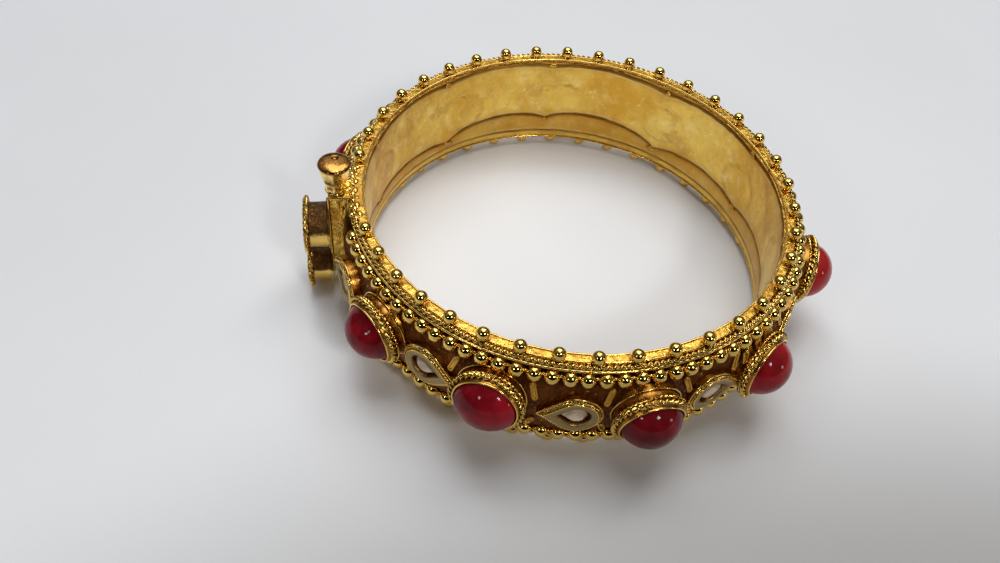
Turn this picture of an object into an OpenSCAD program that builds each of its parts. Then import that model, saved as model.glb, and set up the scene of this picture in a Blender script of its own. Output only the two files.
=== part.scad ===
// Kundan bangle: an opening gold bangle with domed rubies and flat uncut stones round its outer
// face, beaded rims, and a screw that locks the two ends of the band together.
// Millimetres. Z runs along the bangle's axis, up as it lies on its side. The origin is the
// centre of the wrist opening, and the clasp is at -X.

/* [Wrist opening] */
// Inside diameter of the band
inner_d = 57.2; // [54:0.1:64]
// Height of the inner wall between its two rims
wall_h = 15.3; // [14.6:0.1:16.4]

/* [Rims] */
// Width of the flat strip on top of each rim
strip_w = 1.45; // [1.2:0.05:1.8]
// Thickness of the twisted wire outside the strip
rope_t = 0.76; // [0.5:0.02:0.9]
// Thickness of the plain wire below the twisted one
wire_t = 0.44; // [0.3:0.02:0.5]
// Diameter of the beads that stand on the rims
bead_d = 1.74; // [1.2:0.02:1.8]
// Height of a rim bead's centre above its strip
bead_lift = 0.8; // [0.7:0.01:1]
// Number of beads on each rim
bead_count = 37; // [30:1:40]
// Angle from the clasp to the first bead, counter-clockwise seen from above
bead_start = 14.5; // [12:0.5:18]
// Angle from the last bead on to the clasp
bead_end = 12.6; // [12:0.1:18]
// How far the beads opposite the clasp have crept back from an even spacing, in degrees
bead_creep = 5.2; // [0:0.1:6]
// How far the lower rim's beads stand ahead of the upper ones, in degrees
low_turn = 1.3; // [0:0.1:3]

/* [Outer face] */
// How far the belly of the band stands out from the inner wall
belly_out = 3.3; // [2.8:0.1:3.6]
// Thickness of the round wire under each rim, which carries a close row of tiny beads
row_t = 1.5; // [1.2:0.02:1.6]
// How far the middle of this wire stands out from the inner wall
row_out = 2.45; // [2.2:0.05:2.6]
// Height of this wire above the middle of the band
row_z = 5.6; // [5.3:0.1:5.8]

/* [Rubies] */
// Diameter of each domed ruby
ruby_d = 7.8; // [6.4:0.1:8]
// Height of a middling dome above the rim of its setting
dome_h = 2.9; // [2.2:0.05:3.1]
// Distance from the inner wall to the rim of a ruby setting
ruby_out = 5.4; // [5:0.1:5.6]

/* [Flat stones] */
// Radius of the round end of a pear-shaped setting
pear_r = 3.2; // [2.8:0.1:3.2]
// Distance from the middle of its round end to its tip
pear_tip = 4.9; // [4.2:0.1:4.9]
// Radius of the round end of its stone
polki_r = 1.3; // [1.2:0.05:1.8]
// Distance from the middle of the stone's round end to its tip
polki_tip = 2; // [1.9:0.1:2.8]
// Width of the foil that shows round each flat stone
foil_w = 0.35; // [0.1:0.05:0.4]
// Thickness of the flat stones
polki_t = 0.7; // [0.5:0.05:0.9]

/* [Clasp] */
// Distance of the screw's axis from the inner wall
screw_out = 3.75; // [3.6:0.05:3.9]
// Diameter of the screw's pin
pin_d = 1.5; // [1.2:0.1:1.6]
// Width of the clasp's knuckles round the bangle
knuckle_w = 3.2; // [3:0.1:3.6]
// Width of the saw cut between the band's two ends
cut_w = 0.12; // [0.1:0.01:0.2]
// Diameter of the screw's domed head
head_d = 4.3; // [3.6:0.1:4.6]
// Height of the screw's cup-shaped neck
neck_h = 4.2; // [3.6:0.1:4.6]
// Angle between the knuckles and the middle of the plate that hides them
knuckle_turn = -1.7; // [-3:0.1:3]

/* [Hidden] */
RUBY = 10;

$fn = 64;
gap = 0.05;
inner_r = inner_d / 2;
top_z = wall_h / 2;
belly_r = inner_r + belly_out;
row_r = inner_r + row_out;
strip_r = inner_r + strip_w;
rope_r = strip_r + 0.34;
rope_z = top_z - 0.3;
wire_r = rope_r + 0.36;
wire_z = rope_z - 0.46;
bead_r = strip_r - 0.25;
bead_z = top_z + bead_lift;

// Each ruby: its angle from the clasp, how far its setting's face tilts up, its lift above the
// middle of the band, and what its dome adds to dome_h. They were cut and set by hand.
ANGLE = 0;
TILT = 1;
LIFT = 2;
DOME = 3;
rubies = [
    [31.5, -4, 0.4, 0],
    [62, 3, 0.7, -0.4],
    [96.5, -7, 0, 0],
    [128, 4, -0.1, 0],
    [161, -3, 0.2, 0.4],
    [194.5, 2, -0.4, -0.6],
    [228, -2, 0.2, -0.2],
    [261.5, 3, 0, 0.1],
    [295, -3, -0.1, -0.1],
    [333.3, 2, -0.5, -0.3]];

// Each pear-shaped setting: its angle from the clasp, which way its tip points, and how much
// further it stands out. They sit between the rubies, with the tips towards every second one.
TIP = 1;
OUT = 2;
pears = [
    [15.7, -1, 0.6],
    [45.6, 1, 0],
    [81, -1, 0],
    [112.3, 1, 0],
    [144.5, -1, 0],
    [178, 1, 0.1],
    [211.2, -1, 0],
    [244.5, 1, 0],
    [278.4, -1, 0.1],
    [314, 1, 0],
    [346.6, -1, 0]];

ruby_rim_r = inner_r + ruby_out;
ruby_r = ruby_d / 2;
pocket_depth = 1.9;
collar_r = ruby_r + 0.65;
pear_face_r = belly_r + 0.55;
pear_floor_r = pear_face_r - 0.75;

screw_r = inner_r + screw_out;
knuckle_top = top_z - 0.1;
knuckle_low = -6.8;
knuckle_z = 2.3;
knuckle_out = screw_r + 1.05;
// The head's dome is the top of a ball whose centre is this far below the top of the neck
dome_deep = 2.6;
head_ball_r = norm([head_d / 2, dome_deep]);
// The small round dent in the dome: where it is from the screw's axis, outwards and round the
// bangle, the ball that hollows it, and how far this ball's centre is above the dome
dent_at = [-0.1, -0.55];
dent_d = 1.1;
dent_lift = 0.3;
dent_z = sqrt(head_ball_r * head_ball_r - dent_at * dent_at) - dome_deep + dent_lift;
plate_r = knuckle_out + 2.7;
plate_t = 0.7;
// Each lobe of the clasp plate: its height, its radius, and the radius of its stone
Z = 0;
LOBE = 1;
STONE = 2;
lobes = [[2, 3.8, 2.3], [-5.7, 3, 1.65]];

// Turns a shape to an angle from the clasp, with +X outwards there
module around(a) {
    rotate([0, 0, 180 + a])
        children();
}

// Places a shape on the outer face, with its Z outwards and its Y round the bangle
module on_face(a, r, tilt = 0, lift = 0) {
    around(a)
        translate([r, 0, lift])
            rotate([0, 90 - tilt, 0])
                children();
}

// A wire ring round the Z axis
module ring(r, thick) {
    rotate_extrude($fn = 96)
        translate([r, 0])
            circle(d = thick, $fn = 24);
}

// The corners of a pear outline: n round its back, and one at its tip along +Y
function pear_corners(r, tip, n) =
    let (side = acos(r / tip))
        concat(
            [for (k = [0 : n - 1])
                let (a = 90 + side + (360 - 2 * side) * k / (n - 1))
                    [r * cos(a), r * sin(a)]],
            [[0, tip]]);

module pear(r, tip) {
    polygon(pear_corners(r, tip, 13));
}

// A flat-topped stone: an upright edge, then one slanting facet for each side
module table_stone(thick) {
    linear_extrude(thick * 0.45)
        children();
    translate([0, 0, thick * 0.45])
        linear_extrude(thick * 0.55, scale = 0.7)
            children();
}

// The upper half of the band's section, from the inner wall to the belly
half_section = [
    [inner_r, top_z],
    [strip_r, top_z],
    [strip_r, rope_z],
    [wire_r, wire_z],
    [row_r - 0.75, wire_z - 0.45],
    [row_r - 0.75, row_z + 0.4],
    [row_r - 0.2, row_z - 0.4],
    [row_r + 0.3, row_z - 1.1],
    [belly_r - 0.3, 2.6],
    [belly_r, 0]];

module shell() {
    last = len(half_section) - 1;
    lower_half = [for (k = [last - 1 : -1 : 0]) [half_section[k][0], -half_section[k][1]]];
    rotate_extrude($fn = 96)
        polygon(concat(half_section, lower_half));
}

// The wires under a rim: the twisted one, a plain one, and the one that carries tiny beads
module rim_wires() {
    translate([0, 0, rope_z])
        ring(rope_r, rope_t);
    translate([0, 0, wire_z])
        ring(wire_r, wire_t);
    translate([0, 0, row_z])
        ring(row_r, row_t);
}

// A round bead on a short foot, on the strip of a rim
module rim_bead() {
    translate([bead_r, 0, bead_z])
        sphere(d = bead_d, $fn = 24);
    translate([bead_r, 0, top_z - 0.2])
        cylinder(h = bead_lift, d = 1, $fn = 24);
}

module rim_beads() {
    for (k = [0 : bead_count - 1]) {
        share = k / (bead_count - 1);
        creep = bead_creep * (sin(180 * share) + 0.25 * sin(360 * share));
        around(bead_start + share * (360 - bead_start - bead_end) - creep)
            rim_bead();
    }
}

module ruby_setting() {
    translate([0, 0, -3.2])
        cylinder(h = 2.6, r1 = collar_r - 0.3, r2 = collar_r);
    translate([0, 0, -0.75])
        ring(collar_r, 0.84);
    translate([0, 0, -1])
        cylinder(h = 1, r1 = ruby_r + 0.42, r2 = ruby_r + 0.3);
}

module ruby_pocket() {
    translate([0, 0, -pocket_depth])
        cylinder(h = pocket_depth + 1, r = ruby_r + gap);
}

module pear_setting(turn) {
    rotate([0, 0, turn > 0 ? 0 : 180])
        translate([0, 0.85 - pear_tip / 2 + pear_r / 2, 0])
            children();
}

module pear_body() {
    translate([0, 0, -2])
        linear_extrude(1.75)
            pear(pear_r, pear_tip);
    linear_extrude(0.5, center = true)
        pear(pear_r - 0.5, pear_tip - 0.75);
}

module pear_pocket() {
    translate([0, 0, pear_floor_r - pear_face_r])
        linear_extrude(2)
            pear(polki_r + foil_w, polki_tip + 1.5 * foil_w);
}

// The knuckles, and a plate with two round settings that hides them
module clasp_body() {
    around(knuckle_turn) {
        translate([inner_r + 1, -knuckle_w / 2, knuckle_low])
            cube([knuckle_out - inner_r - 1, knuckle_w, knuckle_top - knuckle_low]);
        translate([knuckle_out - 1, -knuckle_w / 2, cut_w / 2 - knuckle_z])
            cube([1.3, knuckle_w, 2 * knuckle_z - cut_w]);
    }
    around(0) {
        for (l = lobes)
            translate([knuckle_out + 0.05, 0, l[Z]])
                rotate([0, 90, 0]) {
                    cylinder(h = 0.3, r = l[LOBE] - 0.4);
                    cylinder(h = plate_r - knuckle_out, r = l[LOBE] - 0.65);
                    translate([0, 0, plate_r - knuckle_out])
                        cylinder(h = plate_t, r = l[LOBE]);
                }
        translate([plate_r, -1.3, lobes[1][Z]])
            cube([plate_t, 2.6, lobes[0][Z] - lobes[1][Z]]);
        translate([knuckle_out + 0.05, 0, lobes[0][Z]])
            rotate([48, 0, 0])
                translate([0, 0, lobes[0][LOBE] - 0.5])
                    rotate([0, 90, 0])
                        cylinder(h = plate_r - knuckle_out, d = 0.9, $fn = 24);
    }
}

module clasp_pockets() {
    around(0) {
        for (l = lobes)
            translate([plate_r + 0.1, 0, l[Z]])
                rotate([0, 90, 0])
                    cylinder(h = 2, r = l[STONE] + gap);
    }
    around(knuckle_turn)
        translate([screw_r, 0, knuckle_low - 1])
            cylinder(h = 20, d = pin_d + 0.1);
}

// The saw cut between the band's ends: one end has the upper and the lower knuckle, and the
// other has the middle one, which also carries the plate
module saw_cut() {
    side = knuckle_w / 2;
    deep = knuckle_out - inner_r + 1;
    around(knuckle_turn) {
        translate([inner_r - 1, side - cut_w, -knuckle_z])
            cube([deep, cut_w, 2 * knuckle_z]);
        for (z = [-knuckle_z, knuckle_z])
            translate([inner_r - 1, -side, z - cut_w / 2])
                cube([deep, knuckle_w, cut_w]);
        for (z = [-12, knuckle_z])
            translate([inner_r - 1, -side, z])
                cube([deep, cut_w, 12 - knuckle_z]);
        for (z = [-12, knuckle_z])
            translate([knuckle_out - cut_w, -side, z])
                cube([cut_w, knuckle_w, 12 - knuckle_z]);
    }
}

module band() {
    color("goldenrod")
        difference() {
            union() {
                shell();
                for (side = [0, 1])
                    mirror([0, 0, side]) {
                        rim_wires();
                        rotate([0, 0, side * low_turn])
                            rim_beads();
                    }
                for (s = rubies)
                    on_face(s[ANGLE], ruby_rim_r, s[TILT], s[LIFT])
                        ruby_setting();
                for (p = pears)
                    on_face(p[ANGLE], pear_face_r + p[OUT])
                        pear_setting(p[TIP])
                            pear_body();
                clasp_body();
            }
            for (s = rubies)
                on_face(s[ANGLE], ruby_rim_r, s[TILT], s[LIFT])
                    ruby_pocket();
            for (p = pears)
                on_face(p[ANGLE], pear_face_r + p[OUT])
                    pear_setting(p[TIP])
                        pear_pocket();
            clasp_pockets();
            saw_cut();
        }
}

module ruby(k) {
    s = rubies[k];
    high = dome_h + s[DOME];
    dome_r = (ruby_r * ruby_r + high * high) / (2 * high);
    color("crimson")
        on_face(s[ANGLE], ruby_rim_r, s[TILT], s[LIFT]) {
            intersection() {
                translate([0, 0, high - dome_r])
                    sphere(dome_r, $fn = 48);
                cylinder(h = high + 1, r = ruby_r);
            }
            translate([0, 0, gap - pocket_depth])
                cylinder(h = pocket_depth - gap, r = ruby_r);
        }
}

module polki(k) {
    p = pears[k];
    color("gainsboro")
        on_face(p[ANGLE], pear_floor_r + gap + p[OUT])
            pear_setting(p[TIP])
                table_stone(polki_t)
                    polygon(pear_corners(polki_r, polki_tip, 9));
}

module clasp_stone(l) {
    color("gainsboro")
        around(0)
            translate([plate_r + 0.1 + gap, 0, l[Z]])
                rotate([0, 90, 0])
                    table_stone(polki_t)
                        circle(l[STONE], $fn = 12);
}

module screw() {
    color("gold")
        around(knuckle_turn)
            translate([screw_r, 0, knuckle_top + gap]) {
                translate([0, 0, knuckle_low - knuckle_top])
                    cylinder(h = knuckle_top - knuckle_low + 1, d = pin_d);
                cylinder(h = neck_h, d1 = 2.7, d2 = head_d - 0.5);
                difference() {
                    translate([0, 0, neck_h])
                        intersection() {
                            translate([0, 0, -dome_deep])
                                sphere(head_ball_r, $fn = 48);
                            cylinder(h = 3, d = head_d);
                        }
                    translate([dent_at[0], dent_at[1], neck_h + dent_z])
                        sphere(d = dent_d, $fn = 24);
                }
            }
}

band();
screw();
clasp_stone(lobes[0]);  // clasp_stone_upper
clasp_stone(lobes[1]);  // clasp_stone_lower
for (k = [0 : RUBY - 1])
    ruby(k);
for (k = [0 : RUBY])
    polki(k);
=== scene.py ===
import math
import random

import bpy
import numpy
from mathutils import Matrix, Vector, noise


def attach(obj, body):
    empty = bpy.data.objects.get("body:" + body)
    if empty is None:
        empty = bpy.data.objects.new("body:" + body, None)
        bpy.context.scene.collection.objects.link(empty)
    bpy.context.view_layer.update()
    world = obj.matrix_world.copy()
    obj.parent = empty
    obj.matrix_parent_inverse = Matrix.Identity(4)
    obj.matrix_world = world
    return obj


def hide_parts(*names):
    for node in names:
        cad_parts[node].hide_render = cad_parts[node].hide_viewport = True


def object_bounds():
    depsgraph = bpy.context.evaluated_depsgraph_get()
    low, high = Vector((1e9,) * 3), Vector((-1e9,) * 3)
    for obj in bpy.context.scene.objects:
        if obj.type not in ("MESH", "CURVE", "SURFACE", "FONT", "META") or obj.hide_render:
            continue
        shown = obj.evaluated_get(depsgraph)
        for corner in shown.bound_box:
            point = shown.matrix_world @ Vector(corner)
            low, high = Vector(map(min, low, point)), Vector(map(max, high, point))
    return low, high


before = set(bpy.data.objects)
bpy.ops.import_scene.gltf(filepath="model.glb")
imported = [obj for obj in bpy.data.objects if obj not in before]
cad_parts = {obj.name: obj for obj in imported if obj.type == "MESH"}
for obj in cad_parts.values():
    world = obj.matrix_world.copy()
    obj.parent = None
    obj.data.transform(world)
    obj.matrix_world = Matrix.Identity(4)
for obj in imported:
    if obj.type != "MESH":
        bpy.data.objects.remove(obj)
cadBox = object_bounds()
bpy.ops.object.select_all(action="DESELECT")
random.seed(11)

mm = 0.001
tau = 2 * math.pi

# the numbers that the part's source gives, in millimetres and degrees
band = {
    "innerR": 28.6, "ropeR": 30.39, "ropeZ": 7.35, "ropeThick": 0.76, "wireZ": 6.89, "rowR": 31.05, "rowZ": 5.6,
}
rubies = [  # angle from the clasp, tilt, lift, dome height
    (31.5, -4, 0.4, 2.9), (62, 3, 0.7, 2.5), (96.5, -7, 0, 2.9), (128, 4, -0.1, 2.9), (161, -3, 0.2, 3.3),
    (194.5, 2, -0.4, 2.3), (228, -2, 0.2, 2.7), (261.5, 3, 0, 3.0), (295, -3, -0.1, 2.8), (333.3, 2, -0.5, 2.6),
]
pears = [  # angle from the clasp, way of the tip, how far it stands out
    (15.7, -1, 0.6), (45.6, 1, 0), (81, -1, 0), (112.3, 1, 0), (144.5, -1, 0), (178, 1, 0.1),
    (211.2, -1, 0), (244.5, 1, 0), (278.4, -1, 0.1), (314, 1, 0), (346.6, -1, 0),
]
claspTurn = -1.7


# places round the band

def leaning(degrees, axis="Y"):
    return Matrix.Rotation(math.radians(degrees), 4, axis)


def aroundClasp(angle):
    return leaning(180 + angle, "Z")


def standing(radius, height=0):
    return Matrix.Translation((radius * mm, 0, height * mm))


def flipped(side):  # side is -1 for the lower half
    return Matrix.Diagonal((1, 1, side, 1))


def onFace(angle, radius, tilt=0, lift=0):
    return aroundClasp(angle) @ standing(radius, lift) @ leaning(90 - tilt)


# helpers for modelling

def newest(name):
    piece = bpy.context.object
    piece.name = name
    piece.data.name = name
    return piece


def selectOnly(*pieces):
    bpy.ops.object.select_all(action="DESELECT")
    for piece in pieces:
        piece.select_set(True)
    bpy.context.view_layer.objects.active = pieces[0]


def settle(piece, place=None):  # puts the piece's place into its mesh
    if place is not None:
        piece.matrix_world = place
    selectOnly(piece)
    bpy.ops.object.transform_apply(location=True, rotation=True, scale=True)
    return piece


def joined(pieces, name):
    selectOnly(*pieces)
    if len(pieces) > 1:
        bpy.ops.object.join()
    return settle(newest(name))


def smooth(piece, degrees=40):
    selectOnly(piece)
    bpy.ops.object.shade_smooth_by_angle(angle=math.radians(degrees))
    return piece


def editAll(piece, *operations):  # runs edit-mode operations, starting from the whole mesh
    selectOnly(piece)
    bpy.ops.object.mode_set(mode="EDIT")
    bpy.ops.mesh.select_all(action="SELECT")
    for operation, settings in operations:
        operation(**settings)
    bpy.ops.object.mode_set(mode="OBJECT")
    return piece


def mend(piece):  # merges doubles and turns the faces outwards
    doubles = {"threshold": 0.000004}
    return editAll(piece, (bpy.ops.mesh.remove_doubles, doubles),
                   (bpy.ops.mesh.normals_make_consistent, {"inside": False}))


def applied(piece, kind, **settings):  # adds a modifier and applies it
    selectOnly(piece)
    change = piece.modifiers.new("change", kind)
    for title, value in settings.items():
        setattr(change, title, value)
    bpy.ops.object.modifier_apply(modifier="change")
    return piece


def inMetres(numbers):
    return [number * mm for number in numbers]


def ballOf(name, radius, segments, rings, place=(0, 0, 0)):
    bpy.ops.mesh.primitive_uv_sphere_add(
        segments=segments, ring_count=rings, radius=radius * mm, location=inMetres(place))
    return newest(name)


def boxOf(name, sides, place=(0, 0, 0)):
    bpy.ops.mesh.primitive_cube_add(size=1)
    piece = newest(name)
    piece.scale = inMetres(sides)
    piece.location = inMetres(place)
    return settle(piece)


def rodOf(name, radius, depth, place, sides, turn=0):
    bpy.ops.mesh.primitive_cylinder_add(
        vertices=sides, radius=radius * mm, depth=depth * mm, rotation=(0, turn, 0), location=inMetres(place))
    return newest(name)


def pointsOf(piece):
    spots = numpy.empty(len(piece.data.vertices) * 3)
    piece.data.vertices.foreach_get("co", spots)
    return spots.reshape(-1, 3)


def setPoints(piece, spots):
    piece.data.vertices.foreach_set("co", spots.ravel())
    piece.data.update()


def markPoints(piece, title, values):
    mark = piece.data.attributes.new(title, "FLOAT", "POINT")
    mark.data.foreach_set("value", numpy.asarray(values, dtype=numpy.float32))


def wavering(spots, size, seed=0.0):  # smooth noise at each point, from -1 to 1
    return numpy.array([noise.noise(Vector(spot) * (1 / (size * mm)) + Vector((seed, 0, 0))) for spot in spots])


def hill(away, wide):  # 1 on a line, falling off on both sides of it
    return numpy.exp(-(away / wide) ** 2)


def fade(values):
    return numpy.clip(values, 0, 1)


def spun(name, section, steps):  # section: radius and height of each point
    bpy.ops.mesh.primitive_circle_add(vertices=len(section), radius=0.01, fill_type="NOTHING")
    piece = newest(name)
    for vert, (r, z) in zip(piece.data.vertices, section):
        vert.co = (r * mm, 0, z * mm)
    spin = {"steps": steps, "angle": tau, "center": (0, 0, 0), "axis": (0, 0, 1)}
    return mend(editAll(piece, (bpy.ops.mesh.spin, spin)))


def wireSection(radius, twisted, sides):  # a round wire, or two strands side by side
    points = []
    for side in range(sides):
        if twisted:
            strand, spot = divmod(side, sides // 2)
            turn = math.radians(-144 + 288 * spot / (sides // 2 - 1)) + math.pi * strand
            middle = radius / 2 if strand == 0 else -radius / 2
            points.append((middle + radius / 2 * math.cos(turn), radius / 2 * math.sin(turn)))
        else:
            turn = tau * side / sides
            points.append((radius * math.cos(turn), radius * math.sin(turn)))
    return points


def loopWire(name, path, thick, turns=0, sides=8):  # a ring is spun, then laid along the path and twisted
    hub = 10
    steps = len(path)
    section = wireSection(thick / 2, turns != 0, sides)
    piece = spun(name, [(hub + u, v) for u, v in section], steps)
    spots = pointsOf(piece)
    share = numpy.arctan2(spots[:, 1], spots[:, 0]) / tau % 1.0
    u = numpy.hypot(spots[:, 0], spots[:, 1]) - hub * mm
    v = spots[:, 2].copy()
    step = numpy.rint(share * steps).astype(int) % steps
    points, outwards, ups = (numpy.array([[*row[k]] for row in path]) for k in range(3))
    turn = tau * turns * share
    lift = (u * numpy.cos(turn) - v * numpy.sin(turn))[:, None]
    rise = (u * numpy.sin(turn) + v * numpy.cos(turn))[:, None]
    setPoints(piece, points[step] + lift * outwards[step] + rise * ups[step])
    # the groove mark is low in the groove between the two strands, where the wire material paints shade
    crest = fade((numpy.hypot(u, v) / (thick * mm / 2) - 0.12) / 0.4) if turns else numpy.ones(len(u))
    markPoints(piece, "groove", crest)
    return mend(piece)


def ringPath(r, z, steps):  # the place, the way outwards and the way up at each step
    path = []
    for step in range(steps):
        turn = tau * step / steps
        outward = Vector((math.cos(turn), math.sin(turn), 0))
        path.append((outward * r * mm + Vector((0, 0, z * mm)), outward, Vector((0, 0, 1))))
    return path


def pearPath(r, tip, z, steps):  # an even walk round the pear outline, with its tip along +Y
    side = math.acos(r / tip)
    arc = r * (tau - 2 * side)
    straight = math.sqrt(tip * tip - r * r)
    whole = arc + 2 * straight
    start = Vector((r * math.cos(math.pi / 2 + side), r * math.sin(math.pi / 2 + side), 0))
    end = Vector((-start.x, start.y, 0))
    point = Vector((0, tip, 0))
    path = []
    for step in range(steps):
        way = whole * step / steps
        if way < arc:
            turn = math.pi / 2 + side + way / r
            outward = Vector((math.cos(turn), math.sin(turn), 0))
            place = outward * r
        elif way < arc + straight:
            place = end.lerp(point, (way - arc) / straight)
            outward = end.normalized()
        else:
            place = point.lerp(start, (way - arc - straight) / straight)
            outward = start.normalized()
        near = min(1.0, (place - point).length / 0.5)
        outward = (outward * near + Vector((0, 1, 0)) * (1 - near)).normalized()
        path.append(((place + Vector((0, 0, z))) * mm, outward, Vector((0, 0, 1))))
    return path


# helpers for shading, which add nodes to the tree that was opened last

shading = {}


def openTree(tree):
    shading["tree"] = tree
    shading["coords"] = addNode("ShaderNodeTexCoord").outputs


def addNode(kind, inputs=(), **settings):
    nodes = shading["tree"].nodes
    node = nodes.new(kind)
    node.location = (200 * len(nodes), 0)
    for title, value in settings.items():
        setattr(node, title, value)
    feed(node, inputs)
    return node


def feed(node, inputs):  # gives each input a link, a tone or a number
    for title, value in dict(inputs).items():
        socket = node.inputs[title]
        if isinstance(value, bpy.types.NodeSocket):
            shading["tree"].links.new(value, socket)
        elif socket.type == "RGBA":
            socket.default_value = (*value, 1)
        else:
            socket.default_value = value


def doMath(how, first, second=0.0):
    return addNode("ShaderNodeMath", {0: first, 1: second}, operation=how).outputs[0]


def times(first, second):
    return doMath("MULTIPLY", first, second)


def sumOf(*parts):  # each part is a value, or a value and its weight
    total = None
    for part in parts:
        share = times(*part) if isinstance(part, tuple) else part
        total = share if total is None else doMath("ADD", total, share)
    return total


def vectorMath(how, inputs):
    return addNode("ShaderNodeVectorMath", inputs, operation=how).outputs


def noiseOf(scale, detail=3.0, rough=0.5, stretch=None, vector=None):
    vector = vector or shading["coords"]["Object"]
    if stretch:
        vector = addNode("ShaderNodeMapping", {"Vector": vector, "Scale": stretch}).outputs[0]
    inputs = {"Vector": vector, "Scale": scale, "Detail": detail, "Roughness": rough}
    return addNode("ShaderNodeTexNoise", inputs).outputs["Fac"]


def rangeOf(value, low, high, outLow=0.0, outHigh=1.0, how="SMOOTHSTEP"):
    inputs = {"Value": value, "From Min": low, "From Max": high, "To Min": outLow, "To Max": outHigh}
    return addNode("ShaderNodeMapRange", inputs, interpolation_type=how).outputs[0]


def blendOf(factor, first, second):
    inputs = {0: factor, 6: first, 7: second}
    return addNode("ShaderNodeMix", inputs, data_type="RGBA", clamp_factor=True).outputs[2]


def layered(colour, *layers):  # lays tones over a colour, each by its factor
    for factor, tone in layers:
        colour = blendOf(factor, colour, tone)
    return colour


def partsOf(vector):
    return addNode("ShaderNodeSeparateXYZ", {0: vector}).outputs


def markOf(title):
    return addNode("ShaderNodeAttribute", attribute_name=title).outputs["Fac"]


def cameraRay():
    return addNode("ShaderNodeLightPath").outputs["Is Camera Ray"]


def startMaterial(name):
    material = bpy.data.materials.new(name)
    material.use_nodes = True
    material.node_tree.nodes.clear()
    openTree(material.node_tree)
    shading["material"] = material
    return shading["coords"]["Object"]


def finishMaterial(inputs, height, strength, distance):
    relief = addNode("ShaderNodeBump", {"Strength": strength, "Distance": distance, "Height": height})
    shader = addNode("ShaderNodeBsdfPrincipled", {**inputs, "Normal": relief.outputs[0]})
    addNode("ShaderNodeOutputMaterial", {0: shader.outputs[0]})
    return shading["material"]


def finishMetal(colour, rough, height, strength, distance):
    return finishMaterial({"Base Color": colour, "Roughness": rough, "Metallic": 1}, height, strength, distance)


# camera, floor and light

view = {
    "focal": 900.0, "distance": 128.8, "elevation": 48.58, "roll": 6.87, "shiftX": 9.79, "shiftY": 8.18, "turn": -13.0,
    "sensor": 36, "pictureWide": 1000,
}


def makeCamera():
    tilt = math.radians(view["elevation"])
    roll = math.radians(view["roll"])
    back = Vector((0, -math.cos(tilt), math.sin(tilt)))
    right = Vector((1, 0, 0))
    up = back.cross(right)
    side = math.cos(roll) * right + math.sin(roll) * up
    over = -math.sin(roll) * right + math.cos(roll) * up
    place = back * view["distance"] - side * view["shiftX"] - over * view["shiftY"]
    pose = Matrix((side, over, back)).transposed().to_4x4()
    pose.translation = place * mm
    data = bpy.data.cameras.new("photoCamera")
    data.sensor_width = view["sensor"]
    data.lens = view["focal"] * view["sensor"] / view["pictureWide"]
    data.clip_start = 0.005
    data.clip_end = 10
    camera = bpy.data.objects.new("photoCamera", data)
    bpy.context.collection.objects.link(camera)
    camera.matrix_world = leaning(view["turn"], "Z") @ pose
    bpy.context.scene.camera = camera


light = {
    "sky": 0.55, "floorTone": (0.86, 0.87, 0.885), "floorMottle": (0.84, 0.845, 0.855),
    "skyTones": ((0.05, 0.045, 0.04), (0.10, 0.095, 0.09), (0.34, 0.35, 0.37), (0.62, 0.66, 0.72)),
    "skySteps": (0.25, 0.6), "phone": (-0.149, -0.645, 0.75),  # where the phone and hand that took the picture were
    "shadeTone": (0.42, 0.41, 0.40), "shadePlace": (0.019, -0.083, 0), "shadeFull": 0.03, "shadeEnd": 0.073,
    "shadeOval": (0.55, 1, 0), "backdrop": (0.72, 0.74, 0.77), "fadeFrom": 0.2, "fadeTo": 0.8,
    "glow": {"place": (-15.0, 5.0, 500), "half": 3.0, "power": 1.9, "tone": (1.0, 0.99, 0.95), "soft": 0.02},
}
lamps = {  # azimuth, elevation, distance, size, power, tone
    "windowLight": (125, 58, 0.6, 0.24, 0.5, (0.93, 0.96, 1.0)),
    "backLamp": (58, 58, 0.6, 0.2, 0.52, (1.0, 0.98, 0.95)),
    "rimLamp": (97, 36, 0.6, 0.3, 0.12, (1.0, 0.98, 0.95)),
    "ceilingLight": (95, 82, 0.7, 0.46, 1.85, (0.95, 0.97, 1.0)),
    "keyLamp": (-57, 43, 0.5, 0.085, 0.5, (1.0, 0.97, 0.92)),
    "secondLamp": (-127, 33, 0.5, 0.06, 0.16, (1.0, 0.96, 0.9)),
    "lowLamp": (-18, 11, 0.5, 0.07, 0.1, (1.0, 0.96, 0.9)),
}


def newLamp(name, kind, power, tone, place):
    data = bpy.data.lights.new(name, kind)
    data.energy = power
    data.color = tone
    lamp = bpy.data.objects.new(name, data)
    bpy.context.collection.objects.link(lamp)
    lamp.location = place
    return lamp


def addLamp(name, azimuth, elevation, distance, size, power, tone):
    turn = math.radians(azimuth + view["turn"])
    rise = math.radians(elevation)
    place = Vector((math.cos(turn) * math.cos(rise), math.sin(turn) * math.cos(rise), math.sin(rise))) * distance
    lamp = newLamp(name, "AREA", power, tone, place)
    lamp.data.shape = "DISK"
    lamp.data.size = size
    lamp.rotation_euler = place.to_track_quat("Z", "Y").to_euler()


def addGlow():  # the light that the polished wall throws back onto the paper inside the ring
    glow = light["glow"]
    lamp = newLamp("wallGlow", "SPOT", glow["power"], glow["tone"], inMetres(glow["place"]))
    lamp.data.spot_size = math.radians(2 * glow["half"])
    lamp.data.spot_blend = 1.0
    lamp.data.shadow_soft_size = glow["soft"]


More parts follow.
